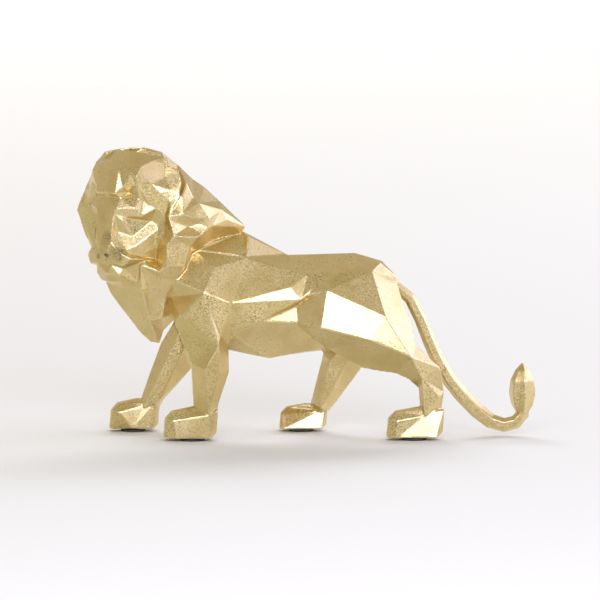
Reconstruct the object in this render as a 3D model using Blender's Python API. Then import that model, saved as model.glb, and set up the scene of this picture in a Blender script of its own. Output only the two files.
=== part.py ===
"""A walking lion in flat facets, cast in one piece, standing on four round pads.

The figure's forms are drawn on a grid of squares, GRID_LENGTH of them from the foremost lock of
the mane to the back of the tail's tuft. A corner is (along, across, up): along runs from the mane
to the tail, across is minus on the lion's left side, and up counts from the soles of the paws.
"""

import math

import bmesh
import bpy
from mathutils import Matrix, Vector
from mathutils.geometry import delaunay_2d_cdt

# Driving sizes, in metres
FIGURE_LENGTH = 0.368
PAD_DIAMETER = 0.020
PAD_THICKNESS = 0.002
PAD_GAP = 0.0003

# The drawing grid
GRID_LENGTH = 460
SQUARE = FIGURE_LENGTH / GRID_LENGTH
SOLE_HEIGHT = PAD_THICKNESS + PAD_GAP

# The head is turned to the lion's left about an upright line through the middle of the mane's rim
HEAD_TURN = math.radians(50)
HEAD_CENTRE = (48, -18)

FORMS = []


def place(corner):
    """A grid corner as a point in metres, with the origin under the middle of the figure."""
    along, across, up = corner
    return Vector(((along - GRID_LENGTH / 2) * SQUARE, across * SQUARE, SOLE_HEIGHT + up * SQUARE))


def keep_form(name, bm):
    """Turns a closed bmesh into an object that will be united with the rest of the casting."""
    bmesh.ops.recalc_face_normals(bm, faces=bm.faces)
    mesh = bpy.data.meshes.new(name)
    bm.to_mesh(mesh)
    bm.free()
    form = bpy.data.objects.new(name, mesh)
    FORMS.append(form)
    return form


def hull_form(name, corners):
    """The convex solid that spans the corners."""
    bm = bmesh.new()
    for corner in corners:
        bm.verts.new(place(corner))
    found = bmesh.ops.convex_hull(bm, input=bm.verts)
    loose = [v for v in found["geom_interior"] if isinstance(v, bmesh.types.BMVert)]
    bmesh.ops.delete(bm, geom=loose, context="VERTS")
    return keep_form(name, bm)


def facets_over(outline, inner, ridges):
    """Triangles over the side view of an outline and the corners inside it, with the ridges as edges."""
    corners = outline + list(inner.values())
    numbers = {name: len(outline) + i for i, name in enumerate(inner)}
    flat = [Vector((c[0], c[2])) for c in corners]
    edges = [(numbers[a], numbers[b]) for a, b in ridges]
    rim = list(range(len(outline)))
    found = delaunay_2d_cdt(flat, edges, [rim], 1, 1e-6)
    points, triangles, came_from = found[0], found[2], found[3]
    if len(points) != len(corners):
        raise ValueError("two ridges cross, or a corner lies on the outline")
    return [[came_from[v][0] for v in triangle] for triangle in triangles]


def as_drawn(corner):
    """A corner of a form that is drawn on the lion's own grid."""
    return corner


def turned(corner):
    """A corner of the head, drawn as (to its left, forward, up) on the middle line of its face."""
    left, forward, up = corner
    along = HEAD_CENTRE[0] - forward * math.cos(HEAD_TURN) + left * math.sin(HEAD_TURN)
    across = HEAD_CENTRE[1] - forward * math.sin(HEAD_TURN) - left * math.cos(HEAD_TURN)
    return (along, across, up)


def facing(corner):
    """A grid corner as (to the left, forward, up) from the middle line of the turned face."""
    along, across, up = corner[0] - HEAD_CENTRE[0], corner[1] - HEAD_CENTRE[1], corner[2]
    left = along * math.sin(HEAD_TURN) - across * math.cos(HEAD_TURN)
    forward = -along * math.cos(HEAD_TURN) - across * math.sin(HEAD_TURN)
    return (left, forward, up)


def relief_form(name, outline, left, right, left_ridges=(), right_ridges=(), grid=as_drawn):
    """A solid drawn from one side: a rim, with faceted corners on this side of it and on the other."""
    bm = bmesh.new()
    rim = [bm.verts.new(place(grid(corner))) for corner in outline]
    triangles = []
    for inner, ridges in ((left, left_ridges), (right, right_ridges)):
        verts = rim + [bm.verts.new(place(grid(corner))) for corner in inner.values()]
        triangles += [frozenset(verts[v] for v in face) for face in facets_over(outline, inner, ridges)]
    for triangle in triangles:
        # Three corners of the rim joined on both sides would be a flap of no thickness
        if triangles.count(triangle) == 1:
            bm.faces.new(triangle)
    return keep_form(name, bm)


def mirrored(inner):
    """The same corners on the other side of the lion."""
    return {name: (along, -across, up) for name, (along, across, up) in inner.items()}


def make_trunk():
    """Neck, ribs, belly and croup."""
    outline = [
        (112, 0, 196),
        (166, 0, 203),
        (212, 0, 179),
        (279, 0, 181),
        (306, 0, 173),
        (322, 0, 156),
        (326, 0, 140),
        (312, 0, 112),
        (285, 0, 88),
        (193, 0, 76),
        (156, 0, 83),
        (118, 0, 90),
        (104, 0, 120),
    ]
    left = {
        "withers": (172, -11, 199),
        "crest": (214, -9, 177.5),
        "loin": (269, -14, 174),
        "croup": (304, -12, 172),
        "neck": (120, -34, 186),
        "blade": (170, -22, 179),
        "saddle": (210, -28, 167.5),
        "flank_top": (232, -28, 162.5),
        "hip": (262, -25, 164),
        "pin": (295, -21.5, 164.5),
        "rib": (214, -36, 150),
        "arm": (155, -46, 135.5),
        "flank": (225, -38, 138),
        "flank_low": (227.5, -34, 114.5),
        "rib_low": (184, -40, 116.5),
        "elbow": (157, -39, 103),
        "belly_front": (156, -20, 85),
        "belly": (193, -22, 77.5),
        "belly_back": (250, -20, 88),
        "inside_hip": (262, -34, 140),
        "inside_thigh": (262, -30, 112),
        "rump": (300, -22, 130),
        "inside_neck": (114, -36, 150),
        "breast": (114, -30, 112),
    }
    ridges = [
        ("blade", "rib"),
        ("arm", "rib"),
        ("rib", "flank_top"),
        ("arm", "flank"),
        ("flank_top", "flank"),
        ("flank", "flank_low"),
        ("flank_low", "rib_low"),
        ("arm", "rib_low"),
        ("rib_low", "elbow"),
        ("arm", "elbow"),
        ("blade", "arm"),
        ("neck", "blade"),
    ]
    relief_form("trunk", outline, left, mirrored(left), ridges, ridges)


def make_mane():
    """The mane, from the rim round the face back to the withers, and the ruff down the breast."""
    outline = [
        (29, -10, 284),
        (52, -12, 288.5),
        (69.5, -10, 288),
        (86, -8, 283.5),
        (103, -5, 269.5),
        (116, 0, 256),
        (129, 0, 247),
        (144, 0, 233),
        (170, -4, 208),
        (167, -4, 203),
        (140, -4, 190),
        (122, -4, 165),
        (112, -4, 130),
        (96, -6, 112),
        (88, -8, 104),
        (84, -8, 91),
        (79, -8, 88.5),
        (74, -8, 92.5),
        (65, -6, 100.5),
        (54, -4, 114.5),
        (44, -4, 127.5),
        (34, -4, 141.5),
        (27, 2, 158),
        (21, 12, 168),
        (17, 18, 180),
        (12, 19, 191),
        (8, 18, 198),
        (4, 18, 211),
        (0, 18, 222),
        (2, 17, 228),
        (9, 14, 244.5),
        (15, 10, 258),
        (17.5, 8, 262),
        (19.5, 5, 272),
        (24, 0, 276.5),
    ]
    left = {
        "rim_top": (95, -43, 235),
        "crease_top": (84, -35, 230),
        "crease_mid": (87, -37, 217),
        "crease_low": (84, -37, 200),
        "crease_jaw": (78, -36, 186),
        "rim_mid": (93.5, -52, 222.5),
        "rim_out": (99, -54, 203.5),
        "rim_notch": (92, -50, 194),
        "rim_low": (91.5, -50, 179.5),
        "rim_end": (84, -46, 167),
        "brow_lock": (107, -42.5, 243),
        "ear_lock": (107.5, -49, 224.5),
        "sweep_top": (111, -34, 255),
        "sweep": (118, -37, 240),
        "back_lock": (124, -39, 235),
        "back_lock_end": (120, -44, 221),
        "long_lock": (146, -24, 227),
        "long_lock_end": (152, -24, 217),
        "hollow": (101.5, -47, 216.5),
        "side_lock": (112.5, -45, 211.5),
        "side_recess": (123, -39, 214.5),
        "side_hollow": (133, -40, 220),
        "side_lock_end": (132, -40, 210),
        "side_lock_tip": (125, -43, 205),
        "cheek_lock": (110.5, -51, 202.5),
        "cheek_hollow": (99, -46, 195),
        "throat_lock": (98, -48, 189.5),
        "throat_lock_side": (107, -47, 197),
        "throat_lock_end": (106, -46, 173),
        "throat_lock_tip": (93, -50, 173.5),
        "edge_back": (159, -16, 209),
        "edge_top": (137, -36, 211.5),
        "edge_mid": (124, -42, 202.5),
        "edge_low": (115, -44, 192),
        "edge_end": (109, -44, 170.5),
        "ruff_side": (99.5, -38, 156.5),
        "ruff_top": (81, -40, 161.5),
        "ruff_crest": (72.5, -35, 150),
        "ruff_mid": (74, -23, 115.5),
        "ruff_back": (87, -25, 118),
        "ruff_notch": (90, -30, 141),
        "ruff_tip": (80, -14, 100.5),
        "chin_lock": (66, -44, 173),
        "chin_lock_side": (61, -36, 166),
        "chin_lock_tip": (67, -39, 149),
        "throat": (47, -26, 152),
        "far_tuft": (28, -12, 264),
        "far_temple": (17, -6, 246.5),
        "far_hollow": (9, 11, 231),
        "far_cheek": (9, 14, 207),
        "far_jaw": (20, 8, 180),
    }
    ridges = [
        ("rim_top", "rim_mid"),
        ("rim_mid", "rim_out"),
        ("rim_out", "rim_notch"),
        ("rim_notch", "rim_low"),
        ("rim_low", "rim_end"),
        ("crease_top", "crease_mid"),
        ("crease_mid", "crease_low"),
        ("crease_low", "crease_jaw"),
        ("crease_top", "rim_top"),
        ("sweep_top", "sweep"),
        ("sweep", "back_lock"),
        ("back_lock", "long_lock"),
        ("rim_mid", "ear_lock"),
        ("ear_lock", "back_lock_end"),
        ("hollow", "side_lock"),
        ("side_lock", "side_recess"),
        ("chin_lock", "chin_lock_tip"),
        ("edge_top", "edge_mid"),
        ("edge_mid", "edge_low"),
        ("edge_low", "edge_end"),
        ("edge_end", "ruff_side"),
        ("ruff_side", "ruff_notch"),
        ("ruff_notch", "ruff_back"),
        ("ruff_top", "ruff_crest"),
        ("ruff_crest", "ruff_mid"),
        ("ruff_mid", "ruff_tip"),
    ]
    right = {
        "temple": (32, 24, 247),
        "poll": (60, 24, 266),
        "crown_lock": (78, 31, 262),
        "nape": (97, 22, 250),
        "far_rim": (24, 31, 222),
        "far_rim_low": (25, 27, 194),
        "ear": (54, 40, 240),
        "ear_hollow": (58, 33, 222),
        "jowl": (46, 40, 208),
        "side": (84, 43, 238),
        "side_hollow": (82, 36, 219),
        "back": (110, 36, 234),
        "back_hollow": (118, 33, 221),
        "back_tip": (150, 22, 214),
        "low_lock": (76, 47, 202),
        "low_hollow": (92, 40, 192),
        "low_tip": (104, 47, 200),
        "edge": (134, 37, 207),
        "jowl_tip": (48, 34, 178),
        "throat": (64, 42, 176),
        "throat_hollow": (80, 36, 164),
        "edge_low": (112, 42, 170),
        "ruff_side": (62, 32, 152),
        "ruff_back": (94, 34, 147),
        "ruff_mid": (68, 18, 120),
        "ruff_low": (86, 24, 118),
        "ruff_tip": (79, 6, 100),
    }
    relief_form("mane", outline, left, right, ridges)


def make_head():
    """The face, the fringe above it and the locks that hang beside it, drawn from the front."""
    near = {
        "bridge_top": (39, -46, 226),
        "bridge_low": (36, -48, 195.5),
        "frown": (45.5, -43, 240.5),
        "forehead_side": (54, -38, 246),
        "lid_inner": (41, -47, 229.5),
        "lid_outer": (60, -49, 230.5),
        "lid_top": (64.5, -43.5, 239.5),
        "lid_side": (67.5, -42, 239),
        "eye_outer": (65.5, -46, 222),
        "eye_under": (50.5, -44, 221.5),
        "temple": (73.5, -41.5, 233.5),
        "temple_low": (76.5, -38.5, 217),
        "cheek_inner": (48, -44, 217.5),
        "cheek": (58.5, -42, 202),
        "muzzle_top": (43.5, -42, 207),
        "nose_side": (38.5, -46, 192.5),
        "whisker": (51.5, -49.5, 189),
        "whisker_out": (61.5, -46, 192.5),
        "cheek_out": (84, -37, 215),
        "cheek_low": (83, -41, 208.5),
        "jaw": (80, -37, 197),
        "lip_end": (64.5, -42, 182.5),
        "lip_side": (56, -53, 180.5),
        "lip": (47.5, -51.5, 173),
        "nose_wing": (47, -53, 185),
        "mouth": (36, -46, 175),
        "chin_lip": (49.5, -44.5, 170.8),
        "chin_side": (44.5, -45.5, 164.5),
        "chin_under": (45.5, -41, 157),
        "jaw_under": (67, -41.5, 177.5),
        "fringe_inner": (40, -47, 245),
        "fringe": (48, -45.5, 251.5),
        "fringe_out": (63, -47.5, 254),
        "fringe_end": (73.5, -47, 257),
        "crown_inner": (44, -40, 272.5),
        "crown": (55.5, -48, 265.5),
        "crown_pit": (62, -48, 262.5),
        "crown_out": (66.5, -42.5, 272.5),
        "crown_side": (77, -35, 277.5),
        "crown_end": (90.5, -32.5, 273.5),
        "side_hollow": (90, -38.5, 261),
        "side_lock": (77, -47.5, 254),
        "side_lock_out": (95.5, -46, 248),
        "lock_side": (85, -49, 246),
        "lock_mid": (74.5, -49, 236.5),
        "lock_tip": (82, -49, 230.5),
        "lock_corner": (94, -50, 237),
    }
    side = {name: facing(corner) for name, corner in near.items()}
    middle = {
        "brow": (0, 26, 228),
        "forehead": (0, 23, 242),
        "nose_top": (0, 30.5, 196.5),
        "nose_low": (0, 30, 181.5),
        "chin_top": (0, 24.5, 173),
        "chin_middle": (0, 25.5, 165),
        "chin_base": (0, 23, 156),
        "fringe_middle": (0, 25.5, 246),
        "crown_middle": (0, 20, 277),
    }
    other = {name + "_far": (-left, forward, up) for name, (left, forward, up) in side.items()}
    near_rim = [
        (24, -8, 284),
        (42, -22, 279),
        (52, -24, 268),
        (58, -22.5, 257),
        (60, -17, 243.5),
        (56, -14, 228),
        (52, -12, 212),
        (49, -10, 195),
        (43, -6, 176),
        (24, -2, 152),
    ]
    far_rim = [(-left, forward, up) for left, forward, up in reversed(near_rim)]
    outline = [(0, 4, 287), *near_rim, (0, 0, 146), *far_rim]
    back = {
        "top": (0, -16, 274),
        "nape": (0, -26, 230),
        "throat": (0, -20, 180),
    }
    ridges = [
        ("bridge_top", "bridge_low"),
        ("bridge_top", "lid_inner"),
        ("lid_inner", "lid_outer"),
        ("lid_outer", "lid_top"),
        ("frown", "lid_outer"),
        ("lid_outer", "eye_outer"),
        ("eye_under", "eye_outer"),
        ("bridge_top", "eye_under"),
        ("eye_outer", "temple_low"),
        ("lid_side", "eye_outer"),
        ("eye_under", "temple_low"),
        ("bridge_top", "cheek_inner"),
        ("bridge_top", "muzzle_top"),
        ("bridge_low", "muzzle_top"),
        ("cheek_inner", "cheek"),
        ("eye_under", "cheek"),
        ("cheek", "temple_low"),
        ("muzzle_top", "cheek"),
        ("muzzle_top", "nose_side"),
        ("muzzle_top", "whisker"),
        ("cheek", "whisker"),
        ("nose_side", "whisker"),
        ("bridge_low", "nose_side"),
        ("whisker", "nose_wing"),
        ("whisker", "whisker_out"),
        ("cheek", "whisker_out"),
        ("whisker_out", "cheek_low"),
        ("mouth", "lip"),
        ("lip", "lip_side"),
        ("lip_side", "lip_end"),
        ("whisker", "lip_side"),
        ("chin_lip", "chin_side"),
        ("chin_side", "chin_under"),
        ("chin_lip", "jaw_under"),
        ("fringe_inner", "fringe"),
        ("fringe", "fringe_out"),
        ("fringe_out", "fringe_end"),
        ("crown_inner", "fringe_inner"),
        ("crown_inner", "fringe"),
        ("crown_inner", "crown"),
        ("crown", "fringe"),
        ("crown", "fringe_out"),
        ("crown", "crown_out"),
        ("crown_side", "crown_end"),
        ("crown_out", "crown_side"),
        ("crown_end", "side_hollow"),
        ("fringe_out", "lock_mid"),
        ("lock_mid", "lock_tip"),
        ("lock_tip", "lock_corner"),
        ("lock_side", "lock_corner"),
        ("side_lock", "lock_side"),
        ("lock_side", "side_lock_out"),
    ]
    far_ridges = [(a + "_far", b + "_far") for a, b in ridges]
    relief_form(
        "head", outline, {**side, **other, **middle}, back, ridges + far_ridges, grid=turned
    )


def make_left_hind_leg():
    """Haunch, thigh and shank of the hind leg that pushes off."""
    outline = [
        (222, -22, 158),
        (262, -14, 170),
        (297, -12, 169),
        (321, -6, 154),
        (326, -18, 136),
        (334, -24, 116),
        (340, -29, 91.5),
        (364.5, -32, 69),
        (368, -31, 45),
        (363, -31, 14),
        (347, -31, 12),
        (343, -31, 32),
        (342, -31, 48.5),
        (332, -33, 57.5),
        (319, -29, 63),
        (303, -27, 65),
        (286, -25, 68),
        (251, -25, 87),
        (238, -29, 97),
        (220, -33, 113),
        (214, -35, 137),
    ]
    left = {
        "hip": (262, -26.5, 164.3),
        "pin": (295.5, -23, 165),
        "rump": (316, -14, 152),
        "stifle_top": (251, -38, 147.5),
        "stifle": (245, -47.5, 111),
        "seat": (309, -45, 122),
        "thigh_low": (294, -51, 99),
        "ham": (335, -49.5, 82),
        "hock": (345.5, -41, 59.5),
        "ankle": (348, -41, 24),
        "shank_back": (363, -36, 40),
    }
    ridges = [
        ("hip", "pin"),
        ("hip", "stifle_top"),
        ("stifle_top", "pin"),
        ("pin", "seat"),
        ("stifle_top", "seat"),
        ("seat", "ham"),
        ("stifle_top", "stifle"),
        ("stifle", "thigh_low"),
        ("thigh_low", "ham"),
        ("ham", "hock"),
        ("hock", "ankle"),
    ]
    right = {
        "groin": (262, -8, 140),
        "inner_thigh": (302, -8, 118),
        "inner_ham": (318, -12, 96),
        "inner_knee": (296, -12, 82),
        "inner_gaskin": (338, -20, 74),
        "inner_hock": (355, -21, 58),
        "inner_ankle": (356, -21, 24),
    }
    relief_form("left_hind_leg", outline, left, right, ridges)


def make_left_front_leg():
    """Shoulder and foreleg that carries the weight."""
    outline = [
        (98, -18, 172),
        (112, -14, 192),
        (130, -12, 194),
        (174, -10, 189),
        (172, -18, 158),
        (162, -20, 140),
        (156.5, -36, 102),
        (153, -36, 92),
        (153.5, -36, 65),
        (149, -36, 51),
        (143, -36, 32),
        (138, -36, 14),
        (122, -36, 14),
        (117.5, -37, 31),
        (115.5, -37, 67),
        (115, -37, 75),
        (99, -34, 112),
        (96, -26, 140),
    ]
    left = {
        "neck": (120, -35, 186),
        "blade_front": (139, -38, 170.5),
        "blade": (169.5, -27, 178.5),
        "collar": (100.5, -40, 157),
        "shoulder": (128.5, -50, 146.5),
        "arm": (155, -47, 135.5),
        "breast": (104.5, -44, 123),
        "elbow": (143, -51, 93.5),
        "elbow_back": (145, -47, 103),
        "forearm": (129.5, -52, 69.5),
        "forearm_back": (145.5, -47, 66),
        "wrist": (133, -47, 24),
    }
    ridges = [
        ("neck", "blade"),
        ("neck", "blade_front"),
        ("blade_front", "shoulder"),
        ("shoulder", "arm"),
        ("blade_front", "blade"),
        ("blade", "arm"),
        ("shoulder", "elbow"),
        ("shoulder", "breast"),
        ("arm", "elbow_back"),
        ("elbow_back", "elbow"),
        ("breast", "elbow"),
        ("elbow", "forearm"),
        ("elbow", "forearm_back"),
        ("forearm", "forearm_back"),
        ("forearm", "wrist"),
        ("forearm_back", "wrist"),
    ]
    right = {
        "inner_arm": (128, -20, 118),
        "inner_elbow": (140, -22, 92),
        "inner_forearm": (131, -23, 69),
        "inner_wrist": (130, -26, 24),
    }
    relief_form("left_front_leg", outline, left, right, ridges)


def make_right_front_leg():
    """Shoulder and the foreleg that reaches forward."""
    outline = [
        (98, 18, 172),
        (112, 14, 192),
        (130, 12, 194),
        (174, 10, 189),
        (172, 18, 158),
        (160, 24, 130),
        (150, 30, 106),
        (129, 36, 76),
        (114, 36, 59),
        (87, 36, 29),
        (78, 36, 12),
        (66, 36, 12),
        (64, 36, 30),
        (74, 36, 59),
        (84, 36, 86),
        (96, 34, 106),
        (97, 28, 140),
    ]
    left = {
        "inner_breast": (102, 22, 97),
        "inner_arm": (107, 22, 81),
        "inner_wrist_back": (84, 23.5, 31),
        "inner_wrist": (67, 24, 23),
    }
    left_ridges = [
        ("inner_breast", "inner_wrist"),
        ("inner_arm", "inner_wrist_back"),
    ]
    right = {
        "neck": (120, 35, 186),
        "blade_front": (139, 38, 170.5),
        "blade": (169.5, 27, 178.5),
        "collar": (102, 40, 157),
        "shoulder": (126, 50, 146.5),
        "arm": (154, 47, 135),
        "breast": (101, 44, 124),
        "elbow": (133, 52, 99),
        "forearm": (101, 51, 96),
        "forearm_back": (112, 49, 76),
        "wrist_back": (84, 48.5, 31),
        "wrist": (67, 48, 23),
    }
    right_ridges = [
        ("neck", "blade"),
        ("neck", "blade_front"),
        ("blade_front", "shoulder"),
        ("blade_front", "blade"),
        ("shoulder", "arm"),
        ("shoulder", "elbow"),
        ("breast", "elbow"),
        ("forearm", "elbow"),
        ("forearm", "wrist"),
        ("forearm_back", "wrist_back"),
    ]
    relief_form("right_front_leg", outline, left, right, left_ridges, right_ridges)


def make_right_hind_leg():
    """Haunch, thigh and shank of the hind leg that swings forward."""
    outline = [
        (222, 22, 158),
        (262, 14, 170),
        (297, 12, 169),
        (319, 6, 154),
        (322, 20, 132),
        (316, 27, 108),
        (302, 32, 84),
        (286, 36, 60.5),
        (259, 36, 24),
        (248, 36, 12),
        (236, 36, 10),
        (235, 36, 27),
        (245, 36, 66),
        (247, 34, 76),
        (236, 30, 92),
        (220, 33, 113),
        (214, 35, 137),
    ]
    right = {
        "hip": (262, 30, 164.3),
        "pin": (295.5, 27.5, 165),
        "rump": (313, 14, 152),
        "stifle_top": (251, 44, 147.5),
        "stifle": (243, 45, 113),
        "seat": (303, 47, 122),
        "thigh_low": (284, 50, 96),
        "ham": (292, 45, 78),
        "shank": (258, 50, 66),
        "ankle": (243, 48, 22),
    }
    ridges = [
        ("hip", "pin"),
        ("hip", "stifle_top"),
        ("stifle_top", "pin"),
        ("pin", "seat"),
        ("stifle_top", "seat"),
        ("seat", "thigh_low"),
        ("stifle_top", "stifle"),
        ("stifle", "thigh_low"),
        ("shank", "ankle"),
    ]
    left = {
        "groin": (262, 8, 140),
        "inner_thigh": (296, 8, 118),
        "inner_knee": (276, 12, 92),
        "inner_shank": (270, 22, 67),
        "inner_shin": (254, 20, 70),
        "inner_heel": (246, 22, 22),
        "inner_ankle": (240, 23, 25),
    }
    left_ridges = [
        ("inner_shank", "inner_heel"),
        ("inner_shin", "inner_ankle"),
    ]
    relief_form("right_hind_leg", outline, left, right, left_ridges, ridges)


# A paw's corners, as shares of its length, its width and its height, on one side of its middle.
# The ridge from the sole up to the ankle differs from paw to paw.
PAW_CORNERS = [
    (0.00, 0.31, 0.00),
    (0.03, 0.31, 0.60),
    (0.15, 0.26, 0.84),
    (0.19, 0.35, 0.58),
    (0.54, 0.14, 1.00),
    (0.87, 0.45, 0.00),
    (0.97, 0.20, 0.16),
    (1.00, 0.20, 0.90),
]
PAW_WIDTH = 29

# Each paw: how far along its toes are, how far across its middle is, its length and its height
PAWS = {
    "left_front": (87.5, -36, 55, 31),
    "left_hind": (310, -31, 58, 30),
    "right_front": (32, 36, 51, 30),
    "right_hind": (203, 36, 49, 25),
}
# The foot and the head of each paw's ridge, in the same shares
PAW_RIDGES = {
    "left_front": [(0.25, 0.50, 0.00), (0.83, 0.38, 0.76)],
    "left_hind": [(0.17, 0.49, 0.00), (0.67, 0.29, 0.74)],
    "right_front": [(0.46, 0.50, 0.05), (0.92, 0.36, 0.92)],
    "right_hind": [(0.08, 0.46, 0.00), (0.92, 0.27, 0.78)],
}
PAD_SHARE = {"left_front": 0.53, "left_hind": 0.48, "right_front": 0.47, "right_hind": 0.46}


def make_paw(name, toes, middle, length, height):
    """One paw, flat below."""
    corners = []
    for side in (-1, 1):
        for along, across, up in PAW_CORNERS + PAW_RIDGES[name]:
            corners.append((toes + along * length, middle + side * across * PAW_WIDTH, up * height))
    hull_form(name + "_paw", corners)


# The tail's middle line, from the croup to the tuft: along, up and half thickness
TAIL_LINE = [
    (316, 150, 6.0),
    (334, 135.5, 6.2),
    (345, 113.5, 6.6),
    (354, 91, 7.0),
    (362, 73, 7.2),
    (373, 54, 7.8),
    (386, 38, 8.0),
    (401, 22.5, 8.0),
    (415, 11.5, 7.8),
    (428.5, 7.5, 7.4),
    (440, 10.5, 7.2),
    (447, 19, 6.8),
    (448, 30, 6.4),
]
TAIL_SIDES = 6
TUFT_FOOT = (446.5, 20)
TUFT_TIP = (446.5, 70.5)
TUFT_SIDES = 12
# The tuft's half width at shares of its height, and how deep its grooves cut
TUFT_PROFILE = [(0.0, 6.5), (0.16, 11.5), (0.4, 13.98), (0.65, 12.3), (0.85, 7.6), (1.0, 0.8)]
TUFT_GROOVE = 0.16


def ring_of(bm, centre, side, out, radii):
    """A ring of vertices around a centre, in the plane of two directions."""
    ring = []
    for i, radius in enumerate(radii):
        turn = 2 * math.pi * (i + 0.5) / len(radii)
        point = centre + side * (radius * math.cos(turn)) + out * (radius * math.sin(turn))
        ring.append(bm.verts.new(place(point)))
    return ring


def skin(bm, rings):
    """Joins rings of equal count with four-sided faces, and closes both ends."""
    for low, high in zip(rings, rings[1:]):
        for i in range(len(low)):
            j = (i + 1) % len(low)
            bm.faces.new((low[i], low[j], high[j], high[i]))
    bm.faces.new(rings[0][::-1])
    bm.faces.new(rings[-1])


def make_tail():
    """The tail, a bent six-sided bar in the lion's middle plane."""
    bm = bmesh.new()
    line = [Vector((along, 0, up)) for along, up, _ in TAIL_LINE]
    rings = []
    for i, centre in enumerate(line):
        before, after = line[max(i - 1, 0)], line[min(i + 1, len(line) - 1)]
        out = (after - before).cross(Vector((0, 1, 0))).normalized()
        radii = [TAIL_LINE[i][2]] * TAIL_SIDES
        rings.append(ring_of(bm, centre, Vector((0, 1, 0)), out, radii))
    skin(bm, rings)
    keep_form("tail", bm)


def make_tuft():
    """The tail's tuft, a fluted bud that stands on the upturned end."""
    bm = bmesh.new()
    foot = Vector((TUFT_FOOT[0], 0, TUFT_FOOT[1]))
    axis = Vector((TUFT_TIP[0], 0, TUFT_TIP[1])) - foot
    out = axis.cross(Vector((0, 1, 0))).normalized()
    rings = []
    for share, radius in TUFT_PROFILE:
        radii = [radius * (1 - TUFT_GROOVE * (i % 2)) for i in range(TUFT_SIDES)]
        rings.append(ring_of(bm, foot + axis * share, Vector((0, 1, 0)), out, radii))
    skin(bm, rings)
    keep_form("tuft", bm)


def make_pad(name, toes, middle, length):
    """A round pad stuck under a paw."""
    centre = place((toes + PAD_SHARE[name] * length, middle, 0))
    bm = bmesh.new()
    bmesh.ops.create_cone(
        bm,
        cap_ends=True,
        segments=32,
        radius1=PAD_DIAMETER / 2,
        radius2=PAD_DIAMETER / 2,
        depth=PAD_THICKNESS,
        matrix=Matrix.Translation((centre.x, centre.y, PAD_THICKNESS / 2)),
    )
    mesh = bpy.data.meshes.new(name + "_pad")
    bm.to_mesh(mesh)
    bm.free()
    mesh.shade_smooth()
    mesh.set_sharp_from_angle(angle=math.radians(40))
    pad = bpy.data.objects.new(name + "_pad", mesh)
    bpy.context.scene.collection.objects.link(pad)
    return pad


def finish(colour, roughness, metallic, name):
    """A plain material for one kind of surface."""
    material = bpy.data.materials.new(name)
    material.use_nodes = True
    shader = material.node_tree.nodes["Principled BSDF"]
    shader.inputs["Base Color"].default_value = (*colour, 1)
    shader.inputs["Roughness"].default_value = roughness
    shader.inputs["Metallic"].default_value = metallic
    return material


def unite(name, forms):
    """One casting: the first form, with all the others joined to it."""
    joined = bpy.data.collections.new(name + "_forms")
    bpy.context.scene.collection.children.link(joined)
    for form in forms[1:]:
        joined.objects.link(form)
        form.hide_render = True
        form.display_type = "WIRE"
    casting = forms[0]
    casting.name = name
    bpy.context.scene.collection.objects.link(casting)
    union = casting.modifiers.new("join", "BOOLEAN")
    union.operation = "UNION"
    union.operand_type = "COLLECTION"
    union.collection = joined
    union.solver = "EXACT"
    return casting


def main():
    for old in list(bpy.data.objects):
        bpy.data.objects.remove(old)
    make_trunk()
    make_mane()
    make_head()
    make_left_hind_leg()
    make_left_front_leg()
    make_right_front_leg()
    make_right_hind_leg()
    for name, (toes, middle, length, height) in PAWS.items():
        make_paw(name, toes, middle, length, height)
    make_tail()
    make_tuft()
    lion = unite("lion", FORMS)
    lion.data.materials.append(finish((0.75, 0.58, 0.26), 0.35, 1.0, "gold"))
    rubber = finish((0.03, 0.03, 0.035), 0.8, 0.0, "rubber")
    for name, (toes, middle, length, _) in PAWS.items():
        make_pad(name, toes, middle, length).data.materials.append(rubber)


main()
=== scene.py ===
import math

import bmesh
import bpy
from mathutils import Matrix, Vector


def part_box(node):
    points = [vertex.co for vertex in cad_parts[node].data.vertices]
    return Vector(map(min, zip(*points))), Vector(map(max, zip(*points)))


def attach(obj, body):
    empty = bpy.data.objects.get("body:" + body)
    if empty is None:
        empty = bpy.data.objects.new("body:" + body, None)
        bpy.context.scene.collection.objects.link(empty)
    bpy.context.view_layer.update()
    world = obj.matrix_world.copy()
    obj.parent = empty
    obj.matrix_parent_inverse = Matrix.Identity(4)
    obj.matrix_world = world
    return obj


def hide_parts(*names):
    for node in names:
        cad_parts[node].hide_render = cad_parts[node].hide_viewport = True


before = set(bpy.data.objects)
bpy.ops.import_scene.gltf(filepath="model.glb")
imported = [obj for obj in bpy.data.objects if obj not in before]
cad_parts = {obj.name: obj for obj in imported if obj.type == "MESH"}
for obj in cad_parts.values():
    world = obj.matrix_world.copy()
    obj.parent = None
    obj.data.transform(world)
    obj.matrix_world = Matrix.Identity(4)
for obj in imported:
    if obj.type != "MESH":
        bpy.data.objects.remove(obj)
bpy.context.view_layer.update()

# Helpers for every section: a form becomes an object, and a material is built up from shades.


def as_object(form, name):
    """Put a form into the scene as an object, and free it."""
    mesh = bpy.data.meshes.new(name)
    form.to_mesh(mesh)
    form.free()
    made = bpy.data.objects.new(name, mesh)
    bpy.context.scene.collection.objects.link(made)
    return made


def bake_modifiers(thing):
    """Give an object the mesh that its modifiers make, and drop them."""
    graph = bpy.context.evaluated_depsgraph_get()
    thing.data = bpy.data.meshes.new_from_object(thing.evaluated_get(graph))
    thing.modifiers.clear()


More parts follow.
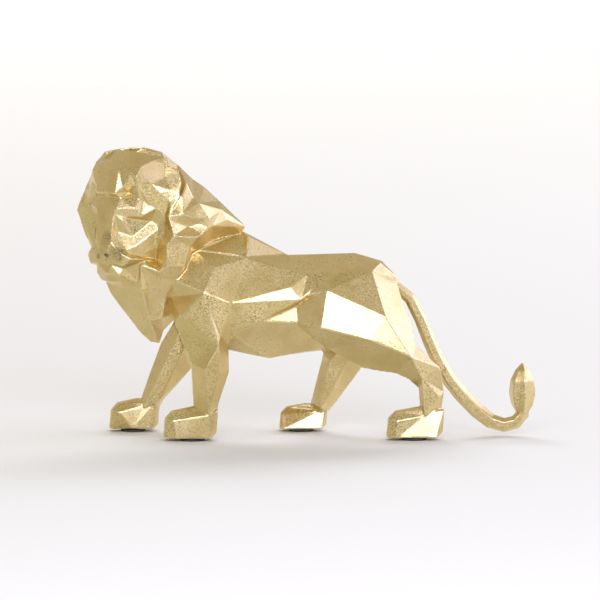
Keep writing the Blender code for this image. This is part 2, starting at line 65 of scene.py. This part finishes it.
class Shade:
    """A socket in a material. Arithmetic on it adds Math nodes."""

    def __init__(self, tree, socket=None):
        self.tree = tree
        self.socket = socket

    def node(self, kind, settings=(), inputs=(), output=0):
        """A new node's output. An input is a plain value or another shade."""
        made = self.tree.nodes.new("ShaderNode" + kind)
        for name, value in dict(settings).items():
            setattr(made, name, value)
        for name, value in dict(inputs).items():
            if isinstance(value, Shade):
                self.tree.links.new(value.socket, made.inputs[name])
            else:
                made.inputs[name].default_value = value
        return Shade(self.tree, made.outputs[output])

    def math(self, operation, *values):
        return self.node("Math", {"operation": operation}, dict(enumerate(values)))

    def __add__(self, other):
        return self.math("ADD", self, other)

    __radd__ = __add__

    def __rsub__(self, other):
        return self.math("SUBTRACT", other, self)

    def __mul__(self, other):
        return self.math("MULTIPLY", self, other)

    __rmul__ = __mul__

    def ramp(self, low, high):
        """0 below low, 1 above high, and smooth between."""
        return self.node(
            "MapRange",
            {"interpolation_type": "SMOOTHSTEP"},
            {"Value": self, "From Min": low, "From Max": high},
        )

    def blend(self, first, second):
        """The first colour where this value is 0, and the second where it is 1."""
        return self.node(
            "Mix", {"data_type": "RGBA"}, {0: self, 6: first, 7: second}, output=2
        )


def start_material(name):
    """A material without nodes, and a shade that adds nodes to it."""
    material = bpy.data.materials.new(name)
    material.use_nodes = True
    material.node_tree.nodes.clear()
    return material, Shade(material.node_tree)


def end_material(material, shader):
    """Make this shader the material's surface."""
    tree = material.node_tree
    output = tree.nodes.new("ShaderNodeOutputMaterial")
    tree.links.new(shader.socket, output.inputs["Surface"])


# The lion is one casting in resin: the body, the head with its mane, the legs, the tail and its tuft
# come out of one mould, in flat facets whose edges are a little soft. The lacquer over them is gold
# with a fine metal grain, and its green-gold leaf shows in random patches. As painted shade, the leaf
# is laid thicker on facets turned certain ways, and facets that look forward and down are painted
# darker. Hollows get painted shade in a deeper gold, edges get a painted highlight in a paler gold,
# and the muzzle has darker patches, with painted shade in the nostrils.

LION_VOXEL = 0.0007
LION_EDGE_PASSES = 2
LION_HOLLOW_PASSES = 16
SMOOTHING = 0.5
HOLLOW_DEPTH = 0.0008
LION_FLAT = math.radians(4.0)
LARGEST_FACES_ONLY = 100
WELD_REACH = 1e-6

# A place on the casting is counted in squares: along from the front end, across from the middle
# towards the lion's right, and up from the soles.

SQUARE = 0.0008
FRONT_TO_MIDDLE = 230
SOLE = 0.0023

# These tables move corners of the casting, which tilts the facets round them. Each place has the
# number of squares that corners within CORNER_REACH of it move towards the lion's right.

FACE_SHIFTS = {
    (55.5, -48, 265.5): 1,
    (62, -48, 262.5): -2.5,
    (66.5, -42.5, 272.5): -2.5,
    (77, -35, 277.5): -2,
    (90.5, -32.5, 273.5): 2,
    (90, -38.5, 261): 3,
    (77, -47.5, 254): 3.5,
    (95.5, -46, 248): 4,
    (74.5, -49, 236.5): 5.7,
    (85, -49, 246): 4.5,
    (82, -49, 230.5): 7,
    (94, -50, 237): 6.5,
    (103, -43, 238): -0.5,
    (93, -46, 229): 4,
    (90, -46, 225): 4,
    (90, -45, 220): 3,
    (48, -44, 217.5): -2.5,
    (76.5, -38.5, 217): 3.4,
    (61.5, -46, 192.5): -0.6,
    (83, -41, 208.5): 2.5,
    (58.5, -42, 202): -0.5,
    (43.5, -42, 207): 1,
    (51.5, -49.5, 189): 1,
    (38.5, -46, 192.5): -3,
    (81, -38, 191): 2,
    (81, -39, 188): 4,
    (81, -40, 184): 6,
    (81.5, -41.5, 176.5): 8.5,
    (44.5, -45.5, 164.5): -1.5,
    (36, -46, 175): 2,
    (32.3, -36.8, 173): -4.5,
    (31.6, -37.5, 165): -7,
    (93, -52, 222): 2.5,
    (98, -46, 231): -1,
    (124, -42, 202): -3,
    (113, -45, 211): 5,
    (99, -46, 195): -3.5,
}
PAW_SHIFTS = {
    (98, -46, 18): -2.5,
    (96, -44, 26): 1,
    (42, 26, 17): -3.5,
    (34, 27, 18): -2.5,
    (212, 26, 14): 4.5,
    (210, 28, 21): 7,
    (238, 28, 20): 2,
    (204, 27, 15): 4,
    (321, -41, 17): -2.5,
    (319, -39, 25): 1,
}
BODY_SHIFTS = {
    (120, -35, 186): 9.5,
    (122, -33, 187): 7,
    (117, -33, 184): 6.5,
    (113, -37, 176): 6.5,
    (111, -38, 170): 4,
    (104, -39, 162): 1,
    (139, -38, 170): 2,
    (170, -27, 178): 4,
    (210, -28, 167): 2,
    (239, -31, 152): -3,
    (243, -30, 154): -3,
    (232, -28, 163): 2,
    (231, -37, 138): 5,
    (225, -37, 135): 7,
    (220, -38, 132): 6,
    (251, -38, 148): -3,
    (245, -47, 111): -3,
}
CORNER_REACH = 1.6

# The edge between the first two places is turned, so that it parts its two facets the other way. The
# eight places after them are the corners of a low pad on the nose.

PAW_EDGE_TO_TURN = ((246, 23, 0), (212, 26, 14))
NOSE_PAD = (
    (22.5, -35, 197),
    (35.5, -48.3, 194.5),
    (31.5, -44, 183.5),
    (27, -40.5, 180.5),
    (22, -35, 183.5),
    (27.5, -42, 192.5),
    (32, -38, 190),
    (28, -34, 190),
)

# Angles of facets, in degrees: the lowest, the highest, and how far beyond them the effect fades.

# Facets that look forward and down get painted shade.
DOWN_SHADE_TURN = (-60.0, -16.0, 10.0)
DOWN_SHADE_RISE = (-50.0, -4.0, 8.0)
# Facets turned these ways get painted shade: the leaf's green-gold grain is laid thicker on them.
SHADED_GRAIN_TURN = (-30.0, 22.0, 8.0)
SHADED_GRAIN_UPPER_RISE = (26.0, 40.0, 6.0)
SHADED_GRAIN_LOWER_RISE = (-12.0, 6.0, 6.0)


def from_squares(along, across, up):
    """The point at a place that is counted in squares."""
    return Vector((along - FRONT_TO_MIDDLE, across, up)) * SQUARE + Vector((0.0, 0.0, SOLE))


def corners_at(form, place):
    """A form's corners within reach of a place."""
    point = from_squares(*place)
    return [vert for vert in form.verts if (vert.co - point).length < CORNER_REACH * SQUARE]


def turn_edge(form, place, other_place):
    """Turn the edge between two places, so that it joins the far corners of its two facets."""
    others = corners_at(form, other_place)
    for corner in corners_at(form, place):
        for other in others:
            edge = form.edges.get((corner, other))
            if edge:
                bmesh.utils.edge_rotate(edge, True)


def shift_corners(form, *tables):
    """Move the corners that the tables list. All of them are found before any is moved."""
    moves = [
        (corner, shift)
        for table in tables
        for place, shift in table.items()
        for corner in corners_at(form, place)
    ]
    for corner, shift in moves:
        corner.co.y += shift * SQUARE


def smooth(skin, passes):
    """Smooth a whole skin, this many times over."""
    for _ in range(passes):
        bmesh.ops.smooth_vert(
            skin, verts=skin.verts, factor=SMOOTHING, use_axis_x=True, use_axis_y=True, use_axis_z=True
        )


def mark_hollows(skin):
    """Store how deep each corner lies in a hollow, by how far more smoothing would lift it."""
    skin.normal_update()
    shape = [(vert.co.copy(), vert.normal.copy()) for vert in skin.verts]
    smooth(skin, LION_HOLLOW_PASSES)
    hollow = skin.verts.layers.float.new("hollow")
    for vert, (point, normal) in zip(skin.verts, shape):
        vert[hollow] = (vert.co - point).dot(normal) / HOLLOW_DEPTH
        vert.co = point


def window(value, low, high, soft):
    """1 between low and high, and 0 when further than soft outside."""
    outside = max(low - value, value - high, 0.0)
    return max(0.0, 1.0 - outside / soft)


def facing(normal):
    """How far a facet is turned to the tail and how far up it looks, in degrees."""
    turn = math.degrees(math.atan2(normal.x, abs(normal.y)))
    rise = math.degrees(math.asin(max(-1.0, min(1.0, normal.z))))
    return turn, rise


def down_shade_shows(normal):
    """How much painted shade a facet gets: facets that look forward and down are painted darker."""
    turn, rise = facing(normal)
    return window(turn, *DOWN_SHADE_TURN) * window(rise, *DOWN_SHADE_RISE)


def shaded_grain_shows(normal):
    """How thick the leaf's green-gold grain lies, as painted shade, on a facet that looks along normal."""
    turn, rise = facing(normal)
    either_rise = max(window(rise, *SHADED_GRAIN_UPPER_RISE), window(rise, *SHADED_GRAIN_LOWER_RISE))
    return window(turn, *SHADED_GRAIN_TURN) * either_rise


lion_form = bmesh.new()
lion_form.from_mesh(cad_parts["lion"].data)
bmesh.ops.remove_doubles(lion_form, verts=lion_form.verts, dist=WELD_REACH)
turn_edge(lion_form, *PAW_EDGE_TO_TURN)
shift_corners(lion_form, FACE_SHIFTS, PAW_SHIFTS, BODY_SHIFTS)
nose_corners = [lion_form.verts.new(from_squares(*place)) for place in NOSE_PAD]
bmesh.ops.convex_hull(lion_form, input=nose_corners)
cast_lion = as_object(lion_form, "cast_lion")

remesh = cast_lion.modifiers.new("even_skin", "REMESH")
remesh.mode = "VOXEL"
remesh.voxel_size = LION_VOXEL
bake_modifiers(cast_lion)

skin = bmesh.new()
skin.from_mesh(cast_lion.data)
smooth(skin, LION_EDGE_PASSES)
mark_hollows(skin)
bmesh.ops.dissolve_limit(
    skin, angle_limit=LION_FLAT, use_dissolve_boundaries=False, verts=skin.verts, edges=skin.edges
)
bmesh.ops.triangulate(skin, faces=skin.faces)
skin.normal_update()
# Painted shade per facet: green-gold grain on facets turned certain ways, and darkening on facets that look
# forward and down.
facet_marks = {
    "grain_shade": [shaded_grain_shows(face.normal) for face in skin.faces],
    "painted_down_shade": [down_shade_shows(face.normal) for face in skin.faces],
}
skin.to_mesh(cast_lion.data)
skin.free()
cast_lion.data.shade_smooth()
for mark, values in facet_marks.items():
    cast_lion.data.attributes.new(mark, "FLOAT", "FACE").data.foreach_set("value", values)

weigh = cast_lion.modifiers.new("flat_facets", "WEIGHTED_NORMAL")
weigh.mode = "FACE_AREA"
weigh.weight = LARGEST_FACES_ONLY
bake_modifiers(cast_lion)

GOLD = (0.86, 0.69, 0.37, 1.0)
GOLD_DULL = (0.72, 0.56, 0.25, 1.0)
# Green gold of the leaf, also used as painted shade on facets by the way they face.
GOLD_GREEN_LEAF_AND_SHADE = (0.38, 0.32, 0.10, 1.0)
# Deeper gold, painted as shade in hollows.
GOLD_HOLLOW_SHADE = (0.68, 0.45, 0.12, 1.0)
# Paler gold, painted as a highlight on edges.
GOLD_EDGE_HIGHLIGHT = (0.98, 0.88, 0.66, 1.0)
# Dark patina of the specks, also used as painted shade in the nostrils and for darker patches on the
# muzzle.
PATINA_AND_PAINTED_SHADE = (0.10, 0.07, 0.035, 1.0)

# How strongly each colour covers the ones under it, from 0 to 1.

LEAF_EVERYWHERE = 0.08
LEAF_AS_SHADE_ON_FACETS = 0.55
LEAF_IN_PATCHES = 0.35
DOWN_SHADE_COVER = 0.38
HOLLOW_SHADE_COVER = 0.85
EDGE_HIGHLIGHT_COVER = 0.6
SPECK_COVER = 0.7

# Each dark spot on the muzzle has a place and a reach, both in squares, and its strength. The first two are
# painted shade in the nostrils; the others darken the muzzle. A spot is full within its core share of the
# reach, and where there are no dots only its share between dots shows.

MUZZLE_DARKENING_AND_NOSTRIL_SHADE = (
    ((22, -36, 182), 4.2, 1.0),
    ((31.5, -44, 183.5), 3.4, 0.9),
    ((29, -42, 186), 13.0, 0.22),
    ((43, -50, 185), 10.0, 0.6),
    ((31.5, -45, 201), 9.0, 0.45),
)
DARK_SPOT_CORE = 0.4
DARK_SPOT_BETWEEN_DOTS = 0.35


def gold_lacquer():
    """Mottled gold, covered in turn by leaf and painted shade on facets, painted shade in hollows, a
    painted edge highlight, specks, and dark muzzle spots with painted shade in the nostrils.
    """
    gilt, here = start_material("gold_lacquer")
    place = here.node("TexCoord", output="Object")
    broad = here.node("TexNoise", inputs={"Vector": place, "Scale": 38.0, "Detail": 3.0})
    grain = here.node("TexNoise", inputs={"Vector": place, "Scale": 900.0, "Detail": 2.0, "Roughness": 0.6})
    dots = here.node("TexNoise", inputs={"Vector": place, "Scale": 620.0, "Detail": 2.0, "Roughness": 0.55})
    flakes = here.node("TexVoronoi", inputs={"Vector": place, "Scale": 1300.0}, output="Color")
    flake = here.node("SeparateXYZ", inputs={"Vector": flakes}, output="X")
    grain_shade = here.node("Attribute", {"attribute_name": "grain_shade"}, output="Fac")
    down_facing_shade = here.node("Attribute", {"attribute_name": "painted_down_shade"}, output="Fac")
    depth = here.node("Attribute", {"attribute_name": "hollow"}, output="Fac")

    # Painted shade: besides an even share and random patches, the leaf is laid thicker on facets turned
    # certain ways.
    leaf_and_shade = LEAF_EVERYWHERE + LEAF_AS_SHADE_ON_FACETS * grain_shade + LEAF_IN_PATCHES * broad.ramp(0.52, 0.70)
    # Painted shade: hollows get a deeper gold.
    hollow_shade = depth.ramp(0.10, 1.1)
    # Painted highlight: edges get a paler gold.
    edge_highlight = (0.0 - depth).ramp(0.12, 0.7)
    speck = dots.ramp(0.64, 0.72) * broad.ramp(0.38, 0.58)
    mottle = DARK_SPOT_BETWEEN_DOTS + (1.0 - DARK_SPOT_BETWEEN_DOTS) * dots.ramp(0.46, 0.58)

    colour = broad.ramp(0.3, 0.7).blend(GOLD_DULL, GOLD)
    colour = (flake.ramp(0.3, 1.0) * leaf_and_shade).blend(colour, GOLD_GREEN_LEAF_AND_SHADE)
    # Painted shade: facets that look forward and down are darkened with green gold.
    colour = (down_facing_shade * DOWN_SHADE_COVER).blend(colour, GOLD_GREEN_LEAF_AND_SHADE)
    colour = (hollow_shade * HOLLOW_SHADE_COVER).blend(colour, GOLD_HOLLOW_SHADE)
    colour = (edge_highlight * EDGE_HIGHLIGHT_COVER).blend(colour, GOLD_EDGE_HIGHLIGHT)
    colour = (speck * SPECK_COVER).blend(colour, PATINA_AND_PAINTED_SHADE)
    # Dark spots on the muzzle; the two in the nostrils are painted shade.
    for spot, reach, strength in MUZZLE_DARKENING_AND_NOSTRIL_SHADE:
        away = here.node(
            "VectorMath", {"operation": "DISTANCE"}, {0: place, 1: from_squares(*spot)}, output="Value"
        )
        near = 1.0 - away.ramp(DARK_SPOT_CORE * reach * SQUARE, reach * SQUARE)
        colour = (near * strength * mottle).blend(colour, PATINA_AND_PAINTED_SHADE)

    relief = here.node(
        "Bump", inputs={"Height": grain + 0.3 * flake, "Strength": 0.5, "Distance": 0.0002}
    )
    gold = here.node(
        "BsdfPrincipled",
        inputs={
            "Base Color": colour,
            "Metallic": 1.0,
            "Roughness": 0.24 + 0.10 * grain + 0.3 * speck,
            "Normal": relief,
        },
    )
    end_material(gilt, gold)
    return gilt


cast_lion.data.materials.append(gold_lacquer())
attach(cast_lion, "root")
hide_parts("lion")

# Four round dots of dark rubber, punched from sheet and stuck under the paws to keep the casting off
# the table. Their cut edge is square and slightly rounded, and the face is finely pebbled.

PAD_SIDES = 64
PAD_EDGE = 0.0003
PAD_EDGE_STEPS = 3
PAD_RIM_ANGLE = 1.0
PAD_SHARP_ANGLE = math.radians(35)
RUBBER = (0.035, 0.035, 0.037, 1.0)
RUBBER_DUSTY = (0.075, 0.073, 0.070, 1.0)


def pad_rubber():
    """Dark pebbled rubber, dusty in places."""
    rubber, here = start_material("pad_rubber")
    place = here.node("TexCoord", output="Object")
    pebbles = here.node("TexNoise", inputs={"Vector": place, "Scale": 2600.0, "Detail": 2.0})
    dust = here.node("TexNoise", inputs={"Vector": place, "Scale": 240.0, "Detail": 3.0})
    relief = here.node("Bump", inputs={"Height": pebbles, "Strength": 0.3, "Distance": 0.0002})
    black = here.node(
        "BsdfPrincipled",
        inputs={
            "Base Color": dust.ramp(0.35, 0.75).blend(RUBBER, RUBBER_DUSTY),
            "Roughness": 0.72 + 0.12 * pebbles,
            "Normal": relief,
        },
    )
    end_material(rubber, black)
    return rubber


def round_dot(name, low, high):
    """A round pad that fills the box from low to high."""
    radius = (high.x - low.x) / 2
    dot = bmesh.new()
    bmesh.ops.create_cone(
        dot, cap_ends=True, segments=PAD_SIDES, radius1=radius, radius2=radius, depth=high.z - low.z
    )
    bmesh.ops.translate(dot, verts=dot.verts, vec=(low + high) / 2)
    bmesh.ops.bevel(
        dot,
        geom=[edge for edge in dot.edges if edge.calc_face_angle(0) > PAD_RIM_ANGLE],
        offset=PAD_EDGE,
        affect="EDGES",
        segments=PAD_EDGE_STEPS,
        profile=0.5,
        material=-1,
    )
    made = as_object(dot, name)
    made.data.shade_smooth()
    made.data.set_sharp_from_angle(angle=PAD_SHARP_ANGLE)
    return made


rubber = pad_rubber()
for paw in ("left_front", "left_hind", "right_front", "right_hind"):
    stuck_dot = round_dot(paw + "_dot", *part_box(paw + "_pad"))
    stuck_dot.data.materials.append(rubber)
    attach(stuck_dot, "root")
    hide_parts(paw + "_pad")

# The studio: a pale floor without a horizon in view, a large soft box in front and above, a second
# one on the right, and light from all round that is weaker from the camera's side. A third box, high
# behind the figure, brightens the floor, and the gold doesn't mirror it.

FLOOR = (0.77, 0.775, 0.70, 1.0)
FLOOR_SIZE = 9.0
FIGURE_MIDDLE = Vector((0.0, 0.0, 0.11))
SKY = (0.58, 0.54, 0.455, 1.0)
SKY_BEHIND_CAMERA = (0.34, 0.32, 0.27, 1.0)

# A direction's part along y, where the sky is weakest and where it is at its full strength.

SKY_FADE = (-0.95, -0.5)


def floor_paper():
    """Plain matt paper."""
    paint, here = start_material("floor_paper")
    end_material(paint, here.node("BsdfPrincipled", inputs={"Base Color": FLOOR, "Roughness": 0.9}))
    return paint


def soft_box(name, place, size, radiance, tint, mirrored=True):
    """A rectangular lamp that faces the figure's middle. The gold shows its image if mirrored."""
    light = bpy.data.lights.new(name, "AREA")
    light.shape = "RECTANGLE"
    light.size, light.size_y = size
    light.energy = radiance * math.pi * size[0] * size[1]
    light.color = tint
    lamp = bpy.data.objects.new(name, light)
    lamp.location = place
    aim = FIGURE_MIDDLE - Vector(place)
    lamp.rotation_euler = aim.to_track_quat("-Z", "Y").to_euler()
    lamp.visible_glossy = mirrored
    bpy.context.scene.collection.objects.link(lamp)


floor_form = bmesh.new()
bmesh.ops.create_grid(floor_form, x_segments=1, y_segments=1, size=FLOOR_SIZE)
floor = as_object(floor_form, "floor")
floor.data.materials.append(floor_paper())

soft_box("key", place=(0.1, -2.0, 1.02), size=(1.6, 0.75), radiance=5.2, tint=(0.92, 0.93, 1.25))
soft_box("right", place=(2.2, 0.45, 1.1), size=(3.5, 1.6), radiance=1.75, tint=(0.72, 0.74, 1.25))
soft_box(
    "backdrop",
    place=(0.0, 6.2, 5.2),
    size=(8.0, 2.5),
    radiance=6.8,
    tint=(1.0, 1.0, 1.22),
    mirrored=False,
)

world = bpy.data.worlds.new("studio")
world.use_nodes = True
bpy.context.scene.world = world
sky = Shade(world.node_tree)
ahead = sky.node("SeparateXYZ", inputs={"Vector": sky.node("TexCoord", output="Generated")}, output="Y")
world.node_tree.links.new(
    ahead.ramp(*SKY_FADE).blend(SKY_BEHIND_CAMERA, SKY).socket,
    world.node_tree.nodes["Background"].inputs["Color"],
)
bpy.context.scene.view_settings.view_transform = "Standard"

# The camera stands well back with a long lens, a little above the figure and square to its side.

CAMERA_HEIGHT = math.radians(6.5)
CAMERA_DISTANCE = 6.0
FRAME_WIDTH = 0.48
SENSOR_WIDTH = 36.0
LOOK_AT = Vector((-0.0048, 0.0, 0.10918))

lens = bpy.data.cameras.new("camera")
lens.sensor_width = SENSOR_WIDTH
lens.lens = SENSOR_WIDTH * CAMERA_DISTANCE / FRAME_WIDTH
lens.clip_end = 60.0
camera = bpy.data.objects.new("camera", lens)
back = Vector((0.0, -math.cos(CAMERA_HEIGHT), math.sin(CAMERA_HEIGHT)))
camera.location = LOOK_AT + CAMERA_DISTANCE * back
camera.rotation_euler = (-back).to_track_quat("-Z", "Y").to_euler()
bpy.context.scene.collection.objects.link(camera)
bpy.context.scene.camera = camera
